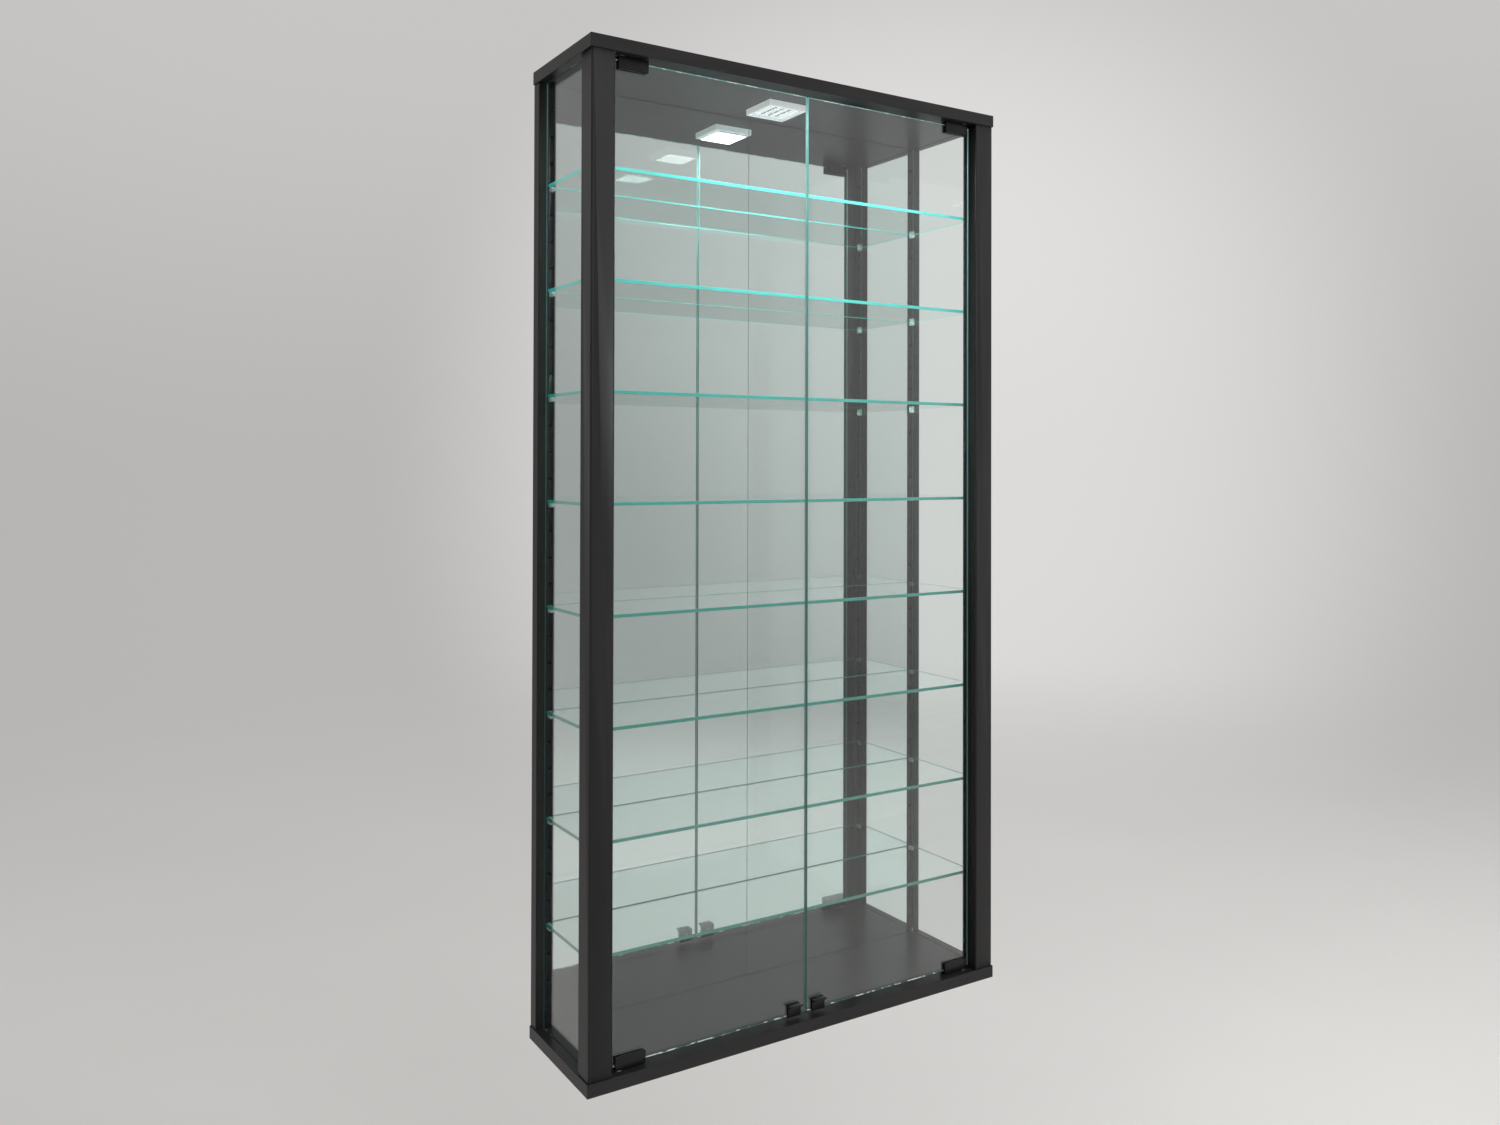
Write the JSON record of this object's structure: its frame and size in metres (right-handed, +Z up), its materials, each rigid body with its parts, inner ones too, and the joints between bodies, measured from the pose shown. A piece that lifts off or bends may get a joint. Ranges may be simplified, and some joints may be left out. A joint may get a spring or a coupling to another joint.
{
  "type": "wall_mounted_showcase",
  "caption": "Wall mounted glass showcase with a dark frame, mirrored back, glass shelves on clear pins, two clamp-hinged glass doors and a lamp",
  "frame": {"origin": "centre of the wall face: on the rear face of the back board, midway between the sides and midway between the top and the bottom", "axes": "+X to the right as seen from the room, +Y into the wall so that the doors face -Y, +Z up"},
  "size_m": [0.602, 0.168, 1.176],
  "materials": {
    "anthracite_foil": "wood-fibre board in a dark anthracite foil, satin",
    "clear_glass": "clear float glass, ground edges",
    "shelf_glass": "float glass, ground edges with a green-blue tint",
    "mirror_silver": "silvered mirror glass",
    "back_board_fibre": "plain fibre board",
    "black_coated_metal": "black coated die casting, satin",
    "zinc_steel": "zinc plated steel",
    "nylon": "moulded nylon",
    "satin_aluminium": "satin aluminium",
    "lamp_board_white": "white board with light emitting chips",
    "lamp_cover_clear": "clear plastic cover",
    "dark_rubber": "moulded rubber"
  },
  "bodies": {
    "cabinet": {"top_board": "anthracite_foil", "bottom_board": "anthracite_foil", "front_post_left": "anthracite_foil", "rear_post_left": "anthracite_foil", "front_post_right": "anthracite_foil", "rear_post_right": "anthracite_foil", "side_glass_left": "clear_glass", "side_glass_right": "clear_glass", "back_board": "back_board_fibre", "mirror_left": "mirror_silver", "mirror_right": "mirror_silver", "shelf_1": "shelf_glass", "shelf_2": "shelf_glass", "shelf_3": "shelf_glass", "shelf_4": "shelf_glass", "shelf_5": "shelf_glass", "shelf_6": "shelf_glass", "shelf_7": "shelf_glass", "shelf_8": "shelf_glass", "hanger_plate_left": "zinc_steel", "hanger_screw_left_1": "zinc_steel", "hanger_screw_left_2": "zinc_steel", "hanger_plate_right": "zinc_steel", "hanger_screw_right_1": "zinc_steel", "hanger_screw_right_2": "zinc_steel", "frame_screw_top_left_front": "zinc_steel", "frame_screw_top_left_rear": "zinc_steel", "frame_screw_top_right_front": "zinc_steel", "frame_screw_top_right_rear": "zinc_steel", "frame_screw_bottom_left_front": "zinc_steel", "frame_screw_bottom_left_rear": "zinc_steel", "frame_screw_bottom_right_front": "zinc_steel", "frame_screw_bottom_right_rear": "zinc_steel", "lamp_housing": "satin_aluminium", "lamp_board": "lamp_board_white", "lamp_cover": "lamp_cover_clear", "cable_grommet": "dark_rubber", "hinge_bush_left_top": "nylon", "hinge_bush_left_bottom": "nylon", "hinge_bush_right_top": "nylon", "hinge_bush_right_bottom": "nylon"},
    "door_left": {"door_glass_left": "clear_glass", "hinge_clamp_left_top": "black_coated_metal", "hinge_pin_left_top": "zinc_steel", "clamp_screw_left_top": "zinc_steel", "hinge_clamp_left_bottom": "black_coated_metal", "hinge_pin_left_bottom": "zinc_steel", "clamp_screw_left_bottom": "zinc_steel", "door_pull_left": "black_coated_metal", "pull_screw_left": "zinc_steel"},
    "door_right": {"door_glass_right": "clear_glass", "hinge_clamp_right_top": "black_coated_metal", "hinge_pin_right_top": "zinc_steel", "clamp_screw_right_top": "zinc_steel", "hinge_clamp_right_bottom": "black_coated_metal", "hinge_pin_right_bottom": "zinc_steel", "clamp_screw_right_bottom": "zinc_steel", "door_pull_right": "black_coated_metal", "pull_screw_right": "zinc_steel"}
  },
  "joints": [
    {"name": "door_left_hinge", "type": "hinge", "parent": "cabinet", "child": "door_left", "pos_m": [-0.2575, -0.153, 0], "axis": [0, 0, -1], "range_deg": [0, 105]},
    {"name": "door_right_hinge", "type": "hinge", "parent": "cabinet", "child": "door_right", "pos_m": [0.2575, -0.153, 0], "axis": [0, 0, 1], "range_deg": [0, 105]}
  ]
}
